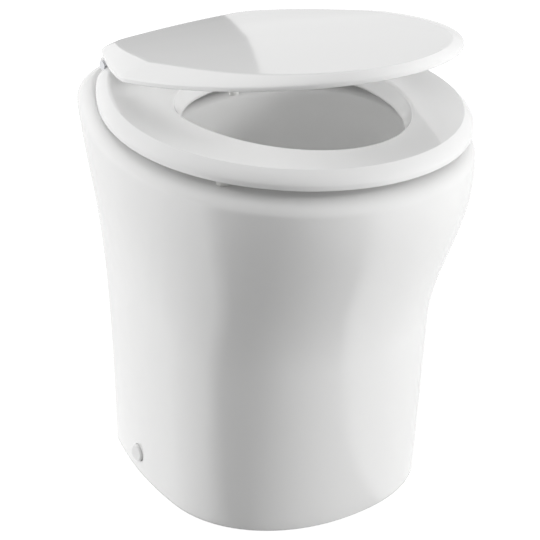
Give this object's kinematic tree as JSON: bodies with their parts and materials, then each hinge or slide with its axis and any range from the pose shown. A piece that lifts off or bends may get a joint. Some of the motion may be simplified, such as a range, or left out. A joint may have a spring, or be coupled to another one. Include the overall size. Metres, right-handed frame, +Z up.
{
  "type": "electric toilet",
  "caption": "Compact one-piece ceramic toilet with hinged seat and lid, and a macerator pump, rinse valve and control box inside its open-backed pedestal.",
  "frame": {"origin": "on the floor, midway between the two floor screw holes of the brackets", "axes": "+Z up, +Y to the rear along the discharge spigot, +X to the sitter's left"},
  "size_m": [0.376, 0.5022, 0.5556],
  "materials": {
    "glaze": "high gloss white glaze",
    "seat_plastic": "gloss white moulding",
    "bumper_plastic": "satin white moulding",
    "bright_steel": "machined",
    "zinc_sheet": "zinc plated sheet",
    "motor_paint": "satin black paint",
    "cast_alloy": "cast",
    "core_iron": "varnished laminations",
    "grey_moulding": "fine texture",
    "black_plastic": "satin",
    "pipe_plastic": "satin grey moulding",
    "coil_blue": "potted coil",
    "board_green": "coated board",
    "black_rubber": "matte",
    "hose_rubber": "matte grey hose"
  },
  "bodies": {
    "pan": {"ceramic_body": "glaze", "left_hinge_post": "seat_plastic", "right_hinge_post": "seat_plastic", "left_hinge_pin": "bright_steel", "right_hinge_pin": "bright_steel", "hinge_bolts": "bright_steel", "hinge_washers": "black_rubber", "hinge_nuts": "seat_plastic", "floor_brackets": "grey_moulding", "side_screws": "bright_steel", "side_washers": "bright_steel", "screw_caps": "seat_plastic", "pump_tray": "zinc_sheet", "tray_screws": "bright_steel", "rubber_isolators": "black_rubber", "motor_cradle": "zinc_sheet", "motor_can": "motor_paint", "motor_end_cap": "cast_alloy", "stator_core": "core_iron", "motor_bearings": "bright_steel", "shaft_seal": "black_rubber", "macerator_back_plate": "grey_moulding", "macerator_housing": "grey_moulding", "housing_o_ring": "black_rubber", "housing_screws": "bright_steel", "outlet_boot": "black_rubber", "boot_clamps": "bright_steel", "discharge_elbow": "pipe_plastic", "check_valve_body": "pipe_plastic", "flap_pin": "bright_steel", "discharge_spigot": "pipe_plastic", "equipment_hanger": "zinc_sheet", "valve_body": "bumper_plastic", "solenoid_coil": "coil_blue", "plunger_spring": "bright_steel", "inlet_strainer": "bright_steel", "supply_hose": "hose_rubber", "vacuum_breaker_body": "bumper_plastic", "vacuum_breaker_cap": "grey_moulding", "rinse_hose": "hose_rubber", "spray_nozzle": "bumper_plastic", "nozzle_nut": "bumper_plastic", "control_box": "grey_moulding", "control_box_cover": "grey_moulding", "circuit_board": "board_green", "cable_gland": "black_plastic", "equipment_leads": "black_rubber"},
    "seat": {"seat_ring": "seat_plastic", "seat_bumpers": "bumper_plastic"},
    "lid": {"lid_shell": "seat_plastic", "lid_bumpers": "bumper_plastic", "lid_dampers": "bright_steel"},
    "rotor": {"motor_shaft": "bright_steel", "armature": "core_iron", "impeller": "cast_alloy", "cutter_blade": "bright_steel", "cutter_nut": "bright_steel"},
    "plunger": {"solenoid_plunger": "bright_steel"},
    "float": {"vacuum_breaker_float": "black_rubber"},
    "flap": {"check_flap": "black_rubber"}
  },
  "joints": [
    {"name": "seat_hinge", "type": "hinge", "parent": "pan", "child": "seat", "pos_m": [0, 0.124, 0.449], "axis": [1, 0, 0], "range_deg": [-95, 0]},
    {"name": "lid_hinge", "type": "hinge", "parent": "seat", "child": "lid", "pos_m": [0, 0.124, 0.449], "axis": [-1, 0, 0], "range_deg": [-11.2, 87]},
    {"name": "rotor_spin", "type": "hinge", "parent": "pan", "child": "rotor", "pos_m": [-0.01, 0, 0.095], "axis": [0, 1, 0], "continuous": true},
    {"name": "plunger_slide", "type": "slide", "parent": "pan", "child": "plunger", "axis": [0, 0, 1], "range_m": [0, 0.004], "stiffness_N_per_m": 200, "springref_m": -0.004, "deforming": ["plunger_spring"]},
    {"name": "float_slide", "type": "slide", "parent": "pan", "child": "float", "axis": [0, 0, 1], "range_m": [0, 0.006]},
    {"name": "flap_hinge", "type": "hinge", "parent": "pan", "child": "flap", "pos_m": [0.064, 0.0115, 0.143], "axis": [1, 0, 0], "range_deg": [0, 55]}
  ]
}
